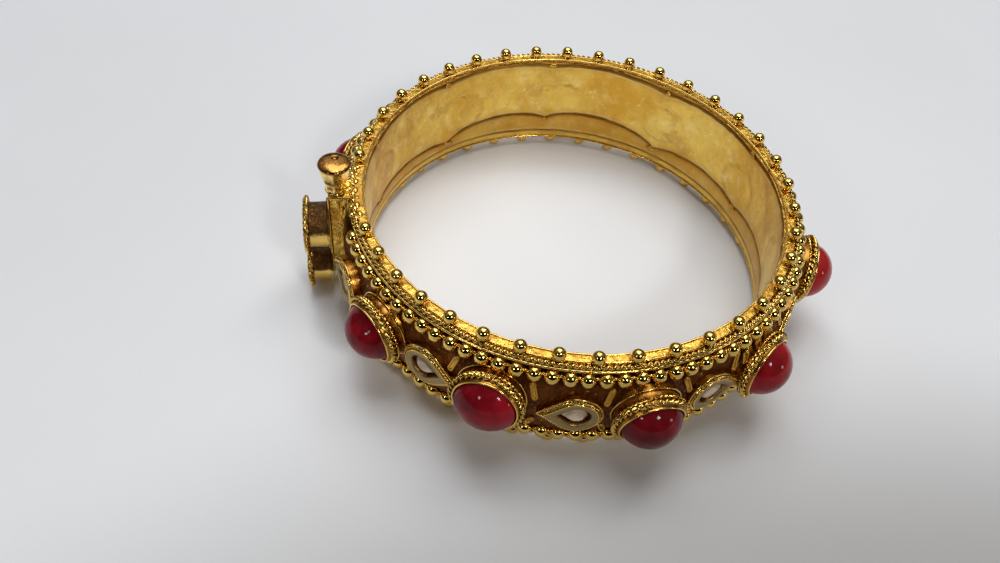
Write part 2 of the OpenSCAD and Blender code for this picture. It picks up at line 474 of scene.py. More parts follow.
def makeLight():
    bpy.context.scene.view_settings.view_transform = "Standard"
    world = bpy.data.worlds.new("softRoom")
    bpy.context.scene.world = world
    world.use_nodes = True
    world.node_tree.nodes.clear()
    openTree(world.node_tree)
    around = shading["coords"]["Generated"]
    parts = partsOf(around)
    ramp = addNode("ShaderNodeValToRGB", {0: parts["Z"]})
    tones = [(*tone, 1) for tone in light["skyTones"]]
    ramp.color_ramp.elements[0].color = tones[0]
    ramp.color_ramp.elements[1].color = tones[-1]
    for spot, tone in zip(light["skySteps"], tones[1:3]):
        ramp.color_ramp.elements.new(spot).color = tone
    front = rangeOf(parts["Y"], -0.75, 0.2, 0.15, 1, "LINEAR")
    phone = rangeOf(vectorMath("DOT_PRODUCT", {0: around, 1: light["phone"]})["Value"], 0.45, 0.8, 1, 0.05)
    dimmed = vectorMath("SCALE", {0: ramp.outputs[0], "Scale": times(front, phone)})["Vector"]
    sky = addNode("ShaderNodeBackground", {"Color": dimmed, "Strength": light["sky"]})
    paper = addNode("ShaderNodeBackground", {"Color": light["backdrop"]})  # what shows above the floor's far edge
    mix = addNode("ShaderNodeMixShader", {0: cameraRay(), 1: sky.outputs[0], 2: paper.outputs[0]})
    addNode("ShaderNodeOutputWorld", {0: mix.outputs[0]})
    for name, numbers in lamps.items():
        addLamp(name, *numbers)
    addGlow()


def floorMaterial():
    place = startMaterial("palePaper")
    apart = vectorMath("SUBTRACT", {0: place, 1: light["shadePlace"]})["Vector"]
    oval = vectorMath("MULTIPLY", {0: apart, 1: light["shadeOval"]})["Vector"]
    shade = rangeOf(vectorMath("LENGTH", {0: oval})["Value"], light["shadeFull"], light["shadeEnd"], 1, 0)
    mottle = rangeOf(noiseOf(14, 3, 0.5), 0.3, 0.7)
    colour = layered(light["floorTone"], (mottle, light["floorMottle"]), (shade, light["shadeTone"]))
    distant = rangeOf(vectorMath("LENGTH", {0: place})["Value"], light["fadeFrom"], light["fadeTo"])
    far = times(distant, cameraRay())  # far out, the floor fades into the backdrop
    black = (0.0, 0.0, 0.0)
    return finishMaterial({
        "Base Color": blendOf(far, colour, black), "Emission Color": blendOf(far, black, light["backdrop"]),
        "Emission Strength": 1, "Roughness": sumOf((distant, 0.45), 0.55)}, noiseOf(900, 3, 0.6), 0.12, 0.0002)


# materials of the bangle

gold = {
    "bright": (0.90, 0.61, 0.155), "deep": (0.52, 0.24, 0.035), "patina": (0.19, 0.065, 0.012),
    "collar": (0.38, 0.17, 0.032), "beige": (0.36, 0.26, 0.115), "strip": (0.72, 0.43, 0.075),
    "field": (0.20, 0.062, 0.012), "fieldDark": (0.05, 0.014, 0.004), "fieldEdge": (0.62, 0.30, 0.05),
    "grain": (0.72, 0.38, 0.06), "blockDark": (0.60, 0.28, 0.04), "blockLight": (1.0, 0.66, 0.12),
    "screwHeadShaded": (0.40, 0.19, 0.045), "screwNeckLit": (1.0, 0.74, 0.26),
    "reflectionBlack": (0.035, 0.014, 0.008), "reflectionBrown": (0.20, 0.07, 0.025),
}
wall = {
    "satin": (0.88, 0.61, 0.13), "satinDeep": (0.70, 0.38, 0.045), "smudge": (1.0, 0.80, 0.30),
    "brushed": (0.62, 0.34, 0.05), "worked": (0.60, 0.33, 0.06), "grainLight": (1.0, 0.86, 0.42),
    "grainDark": (0.50, 0.25, 0.04), "edge": (1.0, 0.82, 0.34), "lipReflection": (0.95, 0.66, 0.13),
    "recessShade": (0.36, 0.13, 0.02), "seamShade": (0.42, 0.17, 0.02), "seam": (0.17, 0.06, 0.01), "pit": (0.25, 0.12, 0.03),
}
stones = {
    "rubyDark": (0.13, 0.002, 0.005), "rubyRed": (0.36, 0.008, 0.018), "rubyVein": (0.42, 0.014, 0.024),
    "rubyLowGlow": (0.62, 0.02, 0.06), "rubyWarmGlow": (0.56, 0.035, 0.03), "rubyShade": (0.07, 0.002, 0.003),
    "polkiDark": (0.60, 0.45, 0.30), "polkiPale": (0.88, 0.73, 0.54),
    "foilDark": (0.045, 0.03, 0.022), "foilPale": (0.17, 0.12, 0.08),
}


def goldWearGroup():  # fine scratches, soft dents and patches of brown patina, on object coordinates
    tree = bpy.data.node_groups.new("goldWear", "ShaderNodeTree")
    for title, value in (("Dents", 1.0), ("Patina", 0.5)):
        tree.interface.new_socket(title, in_out="INPUT", socket_type="NodeSocketFloat").default_value = value
    for title in ("Height", "Patina", "Roughness"):
        tree.interface.new_socket(title, in_out="OUTPUT", socket_type="NodeSocketFloat")
    openTree(tree)
    given = addNode("NodeGroupInput").outputs
    grain = noiseOf(5200, 3, 0.6)
    height = sumOf((noiseOf(900, 2, 0.4), 0.62), (grain, 0.14), (noiseOf(2600, 2, 0.6, (1, 0.18, 4)), 0.14))
    patina = times(rangeOf(noiseOf(420, 4, 0.62), 0.46, 0.72), given["Patina"])
    addNode("NodeGroupOutput", {
        "Height": times(height, given["Dents"]), "Patina": patina,
        "Roughness": sumOf((patina, 0.3), (grain, 0.12))})
    return tree


def wear(dents, patina):  # gives relief, patina and roughness
    return addNode("ShaderNodeGroup", {"Dents": dents, "Patina": patina}, node_tree=wearGroup).outputs


def goldWireMaterial():
    startMaterial("goldWire")
    relief, stain, worn = wear(0.6, 0.35)
    # painted shade: the groove between the twisted strands takes the dark patina tone
    colour = blendOf(markOf("groove"), gold["patina"], blendOf(stain, gold["bright"], gold["deep"]))
    return finishMetal(colour, sumOf((worn, 0.7), 0.13), relief, 0.5, 0.00006)


def goldPlainMaterial(name, tone, base, dents, patina, depth=0.0001):
    startMaterial(name)
    relief, stain, worn = wear(dents, patina)
    return finishMetal(blendOf(stain, gold[tone], gold["deep"]), sumOf(worn, base), relief, 0.6, depth)


def goldGrainMaterial():  # the coarse, granular face of the clasp block
    startMaterial("goldGrain")
    _, stain, worn = wear(1.0, 0.5)
    lumps = noiseOf(1100, 3, 0.6)
    colour = blendOf(rangeOf(lumps, 0.32, 0.5), gold["blockDark"], gold["blockLight"])
    return finishMetal(blendOf(stain, colour, gold["field"]), sumOf(worn, 0.16), lumps, 0.9, 0.0004)


def goldColletMaterial():  # polished below, with a painted dark reflection on the upper half of each round setting
    place = startMaterial("goldCollet")
    relief, stain, worn = wear(0.7, 0.3)
    high = sumOf(partsOf(place)["Z"], (noiseOf(700, 3, 0.6), 0.0012))
    upper = rangeOf(high, 0.0033, 0.0040)
    lower = times(rangeOf(high, -0.0044, -0.0040), rangeOf(high, -0.0024, -0.0019, 1, 0))
    # painted dark reflection: the two masked bands are painted near black and brown, and made rougher and bumpier
    darkReflection = doMath("MAXIMUM", upper, lower)
    stains = rangeOf(noiseOf(1300, 3, 0.65), 0.42, 0.66)
    darkReflectionTone = blendOf(stains, gold["reflectionBlack"], gold["reflectionBrown"])
    colour = layered(gold["bright"], (stain, gold["deep"]), (times(darkReflection, 0.93), darkReflectionTone))
    return finishMetal(colour, sumOf((darkReflection, 0.3), worn, 0.06), sumOf(relief, (darkReflection, stains)), 0.7, 0.0002)


def goldScrewMaterial():  # painted light: the head is painted a shaded brown, and the neck under it a pale lit gold
    place = startMaterial("goldScrew")
    relief, stain, worn = wear(1.6, 0.6)
    colour = blendOf(rangeOf(partsOf(place)["Z"], 0.0116, 0.0119), gold["screwNeckLit"], gold["screwHeadShaded"])
    colour = blendOf(times(stain, 0.6), colour, gold["deep"])
    return finishMetal(colour, sumOf(worn, 0.12), relief, 0.6, 0.00014)


def goldFieldMaterial():
    place = startMaterial("goldField")
    relief, stain, worn = wear(1.0, 0.8)
    x, y, z = partsOf(place)
    turn = doMath("DEGREES", doMath("ARCTAN2", y, x))
    radius = times(doMath("SQRT", sumOf((x, x), (y, y))), 1000)
    high = times(z, 1000)
    unrolled = addNode("ShaderNodeCombineXYZ", {0: times(turn, 0.5), 1: high, 2: radius}).outputs[0]
    grains = addNode("ShaderNodeTexVoronoi", {"Vector": place, "Scale": 2400}).outputs["Distance"]
    steep = doMath("ABSOLUTE", high)
    # painted shade in the recess under the rows of beads
    recessShade = times(rangeOf(steep, 3.6, 5.4), rangeOf(steep, 5.8, 6.2, 1, 0))
    colour = layered(
        gold["field"], (stain, gold["fieldDark"]), (rangeOf(noiseOf(1300, 3, 0.6), 0.6, 0.74), gold["grain"]),
        (recessShade, gold["fieldDark"]), (rangeOf(steep, 5.9, 6.3, 0, 0.75), gold["fieldEdge"]))
    chisel = noiseOf(1.0, 3, 0.6, (3.2, 0.5, 0.5), unrolled)
    height = sumOf((rangeOf(grains, 0.0, 0.6, 1, 0), 0.3), relief, (chisel, 1.1))
    return finishMetal(colour, sumOf(worn, 0.3), height, 0.9, 0.0003)


def goldWallMaterial():  # the satin inner wall, with the dark scalloped seams near its two edges
    startMaterial("goldWall")
    relief = wear(0.5, 0.25)["Height"]
    brushed = noiseOf(900, 3, 0.65, (1.0, 1.0, 0.14))
    smudge = noiseOf(260, 4, 0.6)
    streaks = noiseOf(300, 4, 0.6, (1, 1, 5))
    grain = noiseOf(750, 5, 0.72)
    worked = noiseOf(170, 5, 0.7)
    pits = rangeOf(noiseOf(1500, 2, 0.5), 0.70, 0.78)
    line = markOf("seam")
    colour = layered(
        wall["satin"],
        (rangeOf(noiseOf(120, 3, 0.5), 0.36, 0.72), wall["satinDeep"]),
        (rangeOf(smudge, 0.5, 0.85), wall["smudge"]),
        (rangeOf(brushed, 0.5, 0.8, 0, 0.2), wall["brushed"]),
        (rangeOf(worked, 0.5, 0.66, 0, 0.6), wall["worked"]),
        (rangeOf(grain, 0.54, 0.72, 0, 0.5), wall["grainLight"]),
        (rangeOf(grain, 0.28, 0.44, 0.45, 0), wall["grainDark"]),
        # painted highlight on the raised ridges beside the seams and along the lower edge
        (times(markOf("edge"), 0.7), wall["edge"]),
        # painted shade below the lower seam
        (times(markOf("lower"), 0.45), gold["deep"]),
        # painted reflection of the paper on the lower lip, in streaks
        (times(markOf("lipReflection"), rangeOf(streaks, 0.35, 0.6)), wall["lipReflection"]),
        # painted shade in the recess above the upper seam
        (times(markOf("recessShade"), 0.6), wall["recessShade"]),
        # painted shade round the seam lines
        (times(markOf("seamShade"), 0.6), wall["seamShade"]),
        (times(line, rangeOf(worked, 0.36, 0.6, 0.95, 0.5)), wall["seam"]),
        (times(pits, 0.6), wall["pit"]))
    rough = sumOf((smudge, 0.22), 0.22, (line, 0.25))
    height = sumOf((noiseOf(330, 2, 0.45), 0.9), (relief, 0.25), (brushed, 0.12), (grain, 0.45), (worked, 1.6),
                   (pits, -0.15))
    return finishMetal(colour, rough, height, 0.6, 0.0003)


def rubyMaterial():
    place = startMaterial("rubyStone")
    x, _, z = partsOf(place)
    clouds = noiseOf(260, 3, 0.55)
    # painted glow: the lower part of each stone is painted a brighter red
    low = rangeOf(sumOf(z, (clouds, -0.008)), -0.0072, -0.0046, 1, 0)
    off = doMath("ABSOLUTE", sumOf(x, -0.0035))
    colour = layered(
        stones["rubyDark"],
        (rangeOf(clouds, 0.35, 0.7), stones["rubyRed"]),
        (rangeOf(noiseOf(900, 4, 0.6), 0.62, 0.8), stones["rubyVein"]),
        (times(low, 0.75), stones["rubyLowGlow"]),
        # painted glow: stones beyond 14 mm along x are painted a brighter warm red
        (rangeOf(x, 0.014, 0.032, 0, 0.5), stones["rubyWarmGlow"]),
        (rangeOf(off, 0.003, 0.008, 0.5, 0), stones["rubyShade"]))
    return finishMaterial({
        "Base Color": colour, "Roughness": 0.07, "IOR": 1.45, "Specular IOR Level": 0.22, "Coat Weight": 0.08,
        "Coat Roughness": 0.5, "Subsurface Weight": 0.4, "Subsurface Radius": (0.0016, 0.0001, 0.0001),
        "Subsurface Scale": 1.0}, noiseOf(2200, 3, 0.6), 0.05, 0.00006)


def polkiMaterial():
    startMaterial("polkiStone")
    clouds = noiseOf(620, 3, 0.5)
    return finishMaterial({
        "Base Color": blendOf(rangeOf(clouds, 0.35, 0.65), stones["polkiDark"], stones["polkiPale"]),
        "Roughness": 0.12, "IOR": 1.5, "Coat Weight": 0.12, "Coat Roughness": 0.04, "Metallic": 0.1},
        clouds, 0.2, 0.0001)


def foilMaterial():  # the tarnished foil in the pockets, round the flat stones
    startMaterial("pocketFoil")
    stains = noiseOf(800, 3, 0.6)
    colour = blendOf(rangeOf(stains, 0.4, 0.7), stones["foilDark"], stones["foilPale"])
    return finishMaterial({"Base Color": colour, "Roughness": 0.4, "Metallic": 0.7}, stains, 0.3, 0.0001)


def paint(piece, *materials):
    piece.data.materials.clear()
    for material in materials:
        piece.data.materials.append(material)


pieceCount = {}


def finishPiece(piece, *materials, body="bangle", slotName="gold"):
    if materials:
        paint(piece, *materials)
    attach(piece, body)
    pieceCount[piece.name] = sum(len(p.vertices) - 2 for p in piece.data.polygons)


def scatter(master, places, name, *materials):  # a copy at each place, joined to one finished piece
    made = []
    for place in places:
        twin = master.copy()
        twin.data = master.data.copy()
        twin.matrix_world = place @ master.matrix_world
        bpy.context.collection.objects.link(twin)
        made.append(twin)
    bpy.data.objects.remove(master)
    finishPiece(mend(joined(made, name)), *materials)


wearGroup = goldWearGroup()
wireGold = goldWireMaterial()
beadGold = goldPlainMaterial("goldBead", "bright", 0.07, 0.45, 0.3)
stripGold = goldPlainMaterial("goldStrip", "strip", 0.17, 2.6, 0.8, 0.00024)
collarGold = goldPlainMaterial("goldCollar", "collar", 0.2, 1.0, 0.5)
barGold = goldPlainMaterial("goldBar", "strip", 0.2, 0.8, 1.0)
lipGold = goldPlainMaterial("goldLip", "beige", 0.28, 1.4, 0.25, 0.00014)
grainGold = goldGrainMaterial()
colletGold = goldColletMaterial()
screwGold = goldScrewMaterial()
fieldGold = goldFieldMaterial()
wallGold = goldWallMaterial()
rubyStone = rubyMaterial()
polkiStone = polkiMaterial()
pocketFoil = foilMaterial()

makeCamera()
makeLight()
print("camera, light and materials are ready")


# the band: a spun shell with the wall, the strips and the field between the settings

shell = {
    "steps": 480, "rowStep": 0.13, "wallTop": 7.1, "seamDeep": 0.17, "seamWide": 0.2, "haloWide": 0.8,
    "edgeDeep": 0.05, "recessDeep": 0.12, "ledgeZ": -6.25, "ledgeDeep": 0.07, "lipZ": -6.3, "lipDeep": 0.12,
    "dentR": 3.7, "dentDeep": 0.11, "hammer": 0.03, "grain": 0.05, "stripPits": 0.035, "stripHammer": 0.02,
    "rim": ((28.64, 7.22), (28.8, 7.26), (28.82, 7.5), (28.87, 7.62)),
    "stripFrom": 28.95, "stripStep": 0.13, "stripZ": 7.67, "stripEnd": ((30.05, 7.6), (30.06, 7.45)),
    "field": (
        (30.05, 7.2), (30.2, 6.9), (30.32, 6.6), (30.34, 6.3), (30.36, 6.05), (30.5, 5.75), (30.7, 5.45), (30.88, 5.15),
        (31.05, 4.9), (31.2, 4.6), (31.32, 4.3), (31.42, 3.9), (31.48, 3.5), (31.54, 3.1), (31.6, 2.7), (31.65, 2.3),
        (31.7, 1.9), (31.75, 1.5), (31.79, 1.1), (31.82, 0.7), (31.84, 0.35), (31.85, 0.0)),
}
seam = {  # nodes of the two scalloped seams on the inner wall: angle from the clasp, low height, high height
    "nodes": (
        (12, -5.2, 6.3), (48, -5.0, 6.3), (84, -5.0, 6.3), (120, -5.1, 6.2), (157, -5.0, 6.3), (193, -4.5, 6.4),
        (228.5, -5.1, 6.2), (266, -3.95, 6.6), (301.5, -5.3, 6.3), (337, -5.2, 6.3)),
    "lowArch": (2.0, 1.8, 1.9, 1.9, 1.5, 1.4, 2.0, 1.8, 1.1, 1.8), "highArch": 0.65,
    "blobR": 0.42, "blobStretch": (0.5, 1.35, 0.8), "blobAt": 28.66,
}


def seamHeights(angle):  # the two seams' heights at an angle from the clasp
    nodes = seam["nodes"]
    for k, node in enumerate(nodes):
        following = nodes[(k + 1) % len(nodes)]
        span = (following[0] - node[0]) % 360
        ahead = (angle - node[0]) % 360
        if ahead < span:
            share = ahead / span
            hump = (4 * share * (1 - share)) ** 0.62
            low = node[1] + (following[1] - node[1]) * share + seam["lowArch"][k] * hump
            high = node[2] + (following[2] - node[2]) * share + seam["highArch"] * hump
            return low, high


def makeShell():
    wallRows = round(shell["wallTop"] / shell["rowStep"])
    half = [(band["innerR"], shell["wallTop"] * k / wallRows) for k in range(wallRows + 1)] + list(shell["rim"])
    half += [(shell["stripFrom"] + shell["stripStep"] * k, shell["stripZ"]) for k in range(9)]
    half += [*shell["stripEnd"], *shell["field"]]
    lower = [(r, -z) for r, z in reversed(half[1:-1])]
    piece = spun("bandShell", half + lower, shell["steps"])
    spots = pointsOf(piece)
    wide = numpy.hypot(spots[:, 0], spots[:, 1]) / mm
    high = spots[:, 2] / mm
    angle = (numpy.degrees(numpy.arctan2(spots[:, 1], spots[:, 0])) - 180) % 360
    onWall = (wide < 28.72) & (abs(high) < 7.2)
    onStrip = (wide < 30.1) & (abs(high) > 7.3)
    heights = numpy.array([seamHeights(k * 0.25) for k in range(1440)])
    lines = heights[numpy.rint(angle * 4).astype(int) % 1440]
    waver = wavering(spots, 1.6, 3.0)
    lowGap = high - lines[:, 0] - 0.12 * waver
    highGap = high - lines[:, 1] - 0.1 * waver
    near = numpy.minimum(abs(lowGap), abs(highGap))
    line = hill(near, shell["seamWide"])
    # the raised ridges beside the seams and near the lower edge; the wall also paints them as a highlight
    edge = hill(lowGap - 0.5, 0.2) + hill(highGap + 0.5, 0.2)
    edge += hill(high + 5.85, 0.16) * (lowGap < -0.3) + hill(high + 6.95, 0.14)
    edge *= fade(0.65 + 0.9 * wavering(spots, 1.2, 63.0))
    # the recess above the upper seam, set back and painted as shade
    recessShade = fade(highGap / 0.25) * fade((7.0 - high) / 0.25)
    ledge = hill(high - shell["ledgeZ"] + 0.1 * waver, 0.2)
    dents = numpy.zeros(len(spots))
    for spot, _, lift, _ in rubies:
        side = numpy.radians((angle - spot + 180) % 360 - 180) * band["innerR"]
        far = numpy.hypot(side, (high - lift) * 1.05) + 0.35 * waver
        dents += hill(far - shell["dentR"], 0.55) - 0.5 * hill(far, 2.4)
    hammer = wavering(spots, 2.4, 7.0)
    pits = wavering(spots, 0.75, 15.0)
    inwards = line * shell["seamDeep"] - edge * shell["edgeDeep"] + recessShade * shell["recessDeep"]
    inwards += ledge * shell["ledgeDeep"] + fade((shell["lipZ"] - high) / 0.8) * shell["lipDeep"]
    inwards += dents * shell["dentDeep"] + hammer * shell["hammer"]
    onField = ~onWall & ~onStrip
    grow = onWall * inwards + onField * (0.6 * pits + 0.4 * hammer) * shell["grain"]
    spots[:, :2] *= (1 + grow / wide)[:, None]
    uneven = pits * shell["stripPits"] + hammer * shell["stripHammer"]
    spots[:, 2] += onStrip * uneven * mm * numpy.sign(high)
    setPoints(piece, spots)
    # masks for the wall's colour: seam lines, a painted highlight on the ridges, painted shade round the seams, in the
    # recess and below the lower seam, and a painted reflection on the lower lip
    marks = {
        "seam": numpy.maximum(line, 0.9 * ledge), "edge": edge, "seamShade": hill(near, shell["haloWide"]),
        "recessShade": recessShade, "lipReflection": fade((shell["lipZ"] - high) / 0.2), "lower": fade(-lowGap / 0.4),
    }
    for title, values in marks.items():
        markPoints(piece, title, onWall * values)
    paint(piece, fieldGold, wallGold, stripGold)
    for face in piece.data.polygons:
        middle = face.center
        reach = math.hypot(middle.x, middle.y) / mm
        if reach < 28.9 and abs(middle.z) < 7.24 * mm:
            face.material_index = 1
        elif reach < 30.1 and abs(middle.z) > 7.2 * mm:
            face.material_index = 2
    finishPiece(smooth(piece, 55))
    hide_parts("band")


def makeSeamBlobs():  # little blobs of solder where the scallops meet
    blob = ballOf("blob", seam["blobR"], 14, 8)
    blob.scale = seam["blobStretch"]
    smooth(settle(blob), 80)
    places = []
    for angle, low, high in seam["nodes"]:
        for z in (low + 0.05, high + 0.1):
            size = random.uniform(0.9, 1.4)
            grow = Matrix.Diagonal((size, size * random.uniform(0.8, 1.3), size, 1))
            places.append(aroundClasp(angle + random.uniform(-0.6, 0.6)) @ standing(seam["blobAt"], z) @ grow)
    scatter(blob, places, "seamBlobs", stripGold)


makeShell()
makeSeamBlobs()
print("band shell is ready")


# rims: twisted and plain wires, and the standing beads

rims = {
    "beads": 37, "start": 14.5, "end": 12.6, "creep": 5.2, "lowTurn": 1.3, "beadR": 29.8, "beadZ": 8.445, "beadD": 1.75,
    "foot": ((0.45, -0.5), (0.6, -0.6), (0.64, -0.7), (0.72, -0.82), (0.3, -0.82)),
    "ropeTurns": 118, "wireR": 30.73, "wireThick": 0.36, "edges": ((28.84, 0.28), (29.92, 0.22)), "edgeZ": 7.68,
    "bar": (1.15, 0.26, 0.22), "barShare": 0.34, "barR": 29.42, "barZ": 7.67, "barTurn": 2.3,
}


def rimSpots():  # the angle and side of each standing bead
    spots = []
    for k in range(rims["beads"]):
        share = k / (rims["beads"] - 1)
        creep = rims["creep"] * (math.sin(math.pi * share) + 0.25 * math.sin(tau * share))
        angle = rims["start"] + share * (360 - rims["start"] - rims["end"]) - creep
        spots += [(angle, 1), (angle + rims["lowTurn"], -1)]
    return spots


def makeRims():
    ropes = []
    wires = []
    for side in (1, -1):
        path = ringPath(band["ropeR"], band["ropeZ"] * side, rims["ropeTurns"] * 14)
        ropes.append(loopWire("rimRope", path, band["ropeThick"], rims["ropeTurns"] * side, 12))
        wires.append(loopWire("rimWire", ringPath(rims["wireR"], band["wireZ"] * side, 720), rims["wireThick"]))
        for r, thick in rims["edges"]:
            wires.append(loopWire("edgeWire", ringPath(r, rims["edgeZ"] * side, 720), thick))
    finishPiece(smooth(joined(ropes, "rimRopes"), 75), wireGold)
    wire = joined(wires, "rimWires")
    spots = pointsOf(wire)
    setPoints(wire, spots * (1 + 0.0016 * wavering(spots, 0.5, 51.0)[:, None]))
    finishPiece(smooth(wire, 75), wireGold)

    bead = ballOf("bead", rims["beadD"] / 2, 20, 12)
    bead = smooth(joined([bead, spun("foot", rims["foot"], 20)], "rimBead"), 40)
    places = []
    for turn, side in rimSpots():
        nudge = Matrix.Translation((random.uniform(-0.04, 0.04) * mm, 0, random.uniform(-0.03, 0.03) * mm))
        places.append(aroundClasp(turn) @ flipped(side) @ standing(rims["beadR"], rims["beadZ"]) @ nudge)
    scatter(bead, places, "rimBeads", beadGold)

    bar = smooth(applied(boxOf("bar", rims["bar"]), "BEVEL", width=0.08 * mm, segments=2), 60)
    places = []
    for turn, side in rimSpots():
        for way in (-1, 1):
            if random.random() < rims["barShare"]:
                places.append(aroundClasp(turn + way * rims["barTurn"]) @ standing(rims["barR"], rims["barZ"] * side))
    scatter(bar, places, "stripBars", beadGold)


makeRims()
print("rims are ready")


# the close rows of tiny beads, each in a ring, with a dot between neighbours

rows = {
    "count": 92, "ballD": 2.0, "ballZ": 0.1, "cupR": 0.5, "cupThick": 0.24, "cupZ": -0.74,
    "dotD": 0.5, "dotR": 30.93, "dotZ": 5.9, "clear": (-7.5, 9.5),  # the gap at the clasp, in degrees
}


def makeRows():
    ball = ballOf("rowBall", rows["ballD"] / 2, 14, 9, (0, 0, rows["ballZ"]))
    bpy.ops.mesh.primitive_torus_add(
        major_segments=16, minor_segments=6, major_radius=rows["cupR"] * mm, minor_radius=rows["cupThick"] / 2 * mm,
        location=(0, 0, rows["cupZ"] * mm))
    bead = smooth(joined([ball, newest("rowCup")], "rowBead"), 80)
    bpy.ops.mesh.primitive_ico_sphere_add(subdivisions=2, radius=rows["dotD"] / 2 * mm)
    dot = smooth(newest("rowDot"), 80)
    beadPlaces = []
    dotPlaces = []
    for k in range(rows["count"]):
        for side in (1, -1):
            turn = 360 * (k + random.uniform(-0.03, 0.03)) / rows["count"]
            if rows["clear"][1] <= turn <= 360 + rows["clear"][0]:
                beadPlaces.append(aroundClasp(turn) @ flipped(side) @ standing(band["rowR"], band["rowZ"]))
                turn += 180 / rows["count"]
                dotPlaces.append(aroundClasp(turn) @ flipped(side) @ standing(rows["dotR"], rows["dotZ"]))
    scatter(bead, beadPlaces, "rowBeads", beadGold)
    scatter(dot, dotPlaces, "rowDots", beadGold)


makeRows()
print("rows of beads are ready")


# ruby settings and rubies

rubySet = {
    "stoneR": 3.9, "stoneFoot": 1.8, "rimR": 34.0, "oval": {0: (0.86, 1.0), 1: (1.0, 1.08)},
    "ropeR": 4.55, "ropeZ": -0.62, "ropeThick": 0.82, "ropeTurns": 17,
    "underR": 4.54, "underZ": -1.2, "underThick": 0.44, "underTurns": 24,
    "wires": ((4.12, 0.03), (4.44, -2.42)), "wireThick": 0.26,
    "collar": (
        (4.0, -2.6), (4.0, -0.1), (4.04, 0.06), (4.14, 0.1), (4.22, 0.02), (4.3, -0.3), (4.36, -0.9), (4.42, -1.25),
        (4.28, -1.5), (4.18, -1.9), (4.2, -2.4), (4.34, -2.9), (4.36, -3.2), (4.0, -3.2)),
}


def makeRubySettings():
    places = [onFace(a, rubySet["rimR"], tilt, lift) for a, tilt, lift, _ in rubies]
    scatter(smooth(spun("collar", rubySet["collar"], 72), 40), places, "rubyCollars", collarGold)
    path = ringPath(rubySet["ropeR"], rubySet["ropeZ"], rubySet["ropeTurns"] * 12)
    rope = loopWire("rope", path, rubySet["ropeThick"], rubySet["ropeTurns"], 12)
    path = ringPath(rubySet["underR"], rubySet["underZ"], rubySet["underTurns"] * 10)
    under = loopWire("under", path, rubySet["underThick"], -rubySet["underTurns"], 10)
    scatter(smooth(joined([rope, under], "rope"), 75), places, "rubyRopes", wireGold)
    wires = [loopWire("settingWire", ringPath(r, z, 72), rubySet["wireThick"]) for r, z in rubySet["wires"]]
    scatter(smooth(joined(wires, "settingWire"), 75), places, "rubyWires", beadGold)


def makeRubies():
    r = rubySet["stoneR"]
    cut = {"plane_co": (0, 0, 0), "plane_no": (0, 0, 1), "clear_inner": True, "use_fill": True}
    drop = {"TRANSFORM_OT_translate": {"value": (0, 0, -rubySet["stoneFoot"] * mm)}}
    for k, (angle, tilt, lift, high) in enumerate(rubies):
        dome = (r * r + high * high) / (2 * high)
        stone = settle(ballOf(f"rubyDome{k + 1}", dome, 64, 48, (0, 0, high - dome)))
        editAll(stone, (bpy.ops.mesh.bisect, cut), (bpy.ops.mesh.extrude_region_move, drop))
        smooth(mend(stone), 50)
        spots = pointsOf(stone)
        above = fade(spots[:, 2] / mm / 0.7)
        for axis, factor in enumerate(rubySet["oval"].get(k, (1, 1))):
            spots[:, axis] *= 1 + (factor - 1) * above
        spots *= 1 + 0.006 * wavering(spots, 2.2, 31.0 + 7 * k)[:, None]
        setPoints(stone, spots)
        settle(stone, onFace(angle, rubySet["rimR"], tilt, lift))
        finishPiece(stone, rubyStone, slotName="ruby")
        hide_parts(f"ruby_{k + 1}")


makeRubySettings()
makeRubies()
print("ruby settings and rubies are ready")


# pear-shaped settings

pearSet = {
    "faceR": 32.45, "steps": 96, "rope": (2.88, 4.42, -0.1), "ropeThick": 0.42, "ropeTurns": 22,
    "wires": ((3.16, 4.85, -0.3, 0.28), (2.62, 4.02, 0.08, 0.26)),  # radius, reach of the tip, height, thickness
    "rings": (  # radius, reach of the tip, height
        (3.2, 4.9, -2.0), (3.2, 4.9, -0.32), (3.12, 4.78, -0.25), (2.75, 4.24, -0.22), (2.68, 4.12, 0.08),
        (2.6, 4.0, 0.19), (2.3, 3.52, 0.25), (1.95, 2.98, 0.22), (1.75, 2.67, 0.1), (1.68, 2.56, -0.08),
        (1.68, 2.56, -0.75)),
}


def pearPlate(name, rings, steps):
    verts = []
    for ring in rings:
        verts += [point for point, _, _ in pearPath(*ring, steps)]
    faces = []
    for level in range(len(rings) - 1):
        low = level * steps
        for step in range(steps):
            ahead = (step + 1) % steps
            faces.append((low + step, low + ahead, low + steps + ahead, low + steps + step))
    faces.append(tuple(range(steps))[::-1])
    last = (len(rings) - 1) * steps
    faces.append(tuple(range(last, last + steps)))
    mesh = bpy.data.meshes.new(name)
    mesh.from_pydata(verts, [], faces)
    piece = bpy.data.objects.new(name, mesh)
    bpy.context.collection.objects.link(piece)
    return mend(piece)


def makePears():
    places = []
    for angle, way, out in pears:
        places.append(onFace(angle, pearSet["faceR"] + out) @ leaning(0 if way > 0 else 180, "Z"))
    steps = pearSet["steps"]
    body = pearPlate("pearBody", pearSet["rings"], steps)
    paint(body, lipGold, pocketFoil, collarGold)
    for face in body.data.polygons:
        if face.center.z < -0.3 * mm and abs(face.normal.z) > 0.9:
            face.material_index = 1
        elif face.center.z < -0.2 * mm:
            face.material_index = 2
    scatter(smooth(body, 40), places, "pearSettings")
    turns = pearSet["ropeTurns"]
    rope = loopWire("pearRope", pearPath(*pearSet["rope"], turns * 12), pearSet["ropeThick"], turns, 10)
    scatter(smooth(rope, 75), places, "pearRopes", wireGold)
    wires = [loopWire("pearWire", pearPath(*ring, steps), thick) for *ring, thick in pearSet["wires"]]
    scatter(smooth(joined(wires, "pearWire"), 75), places, "pearWires", beadGold)


makePears()
print("pear settings are ready")


# little bars with ball ends on the slope beside each ruby

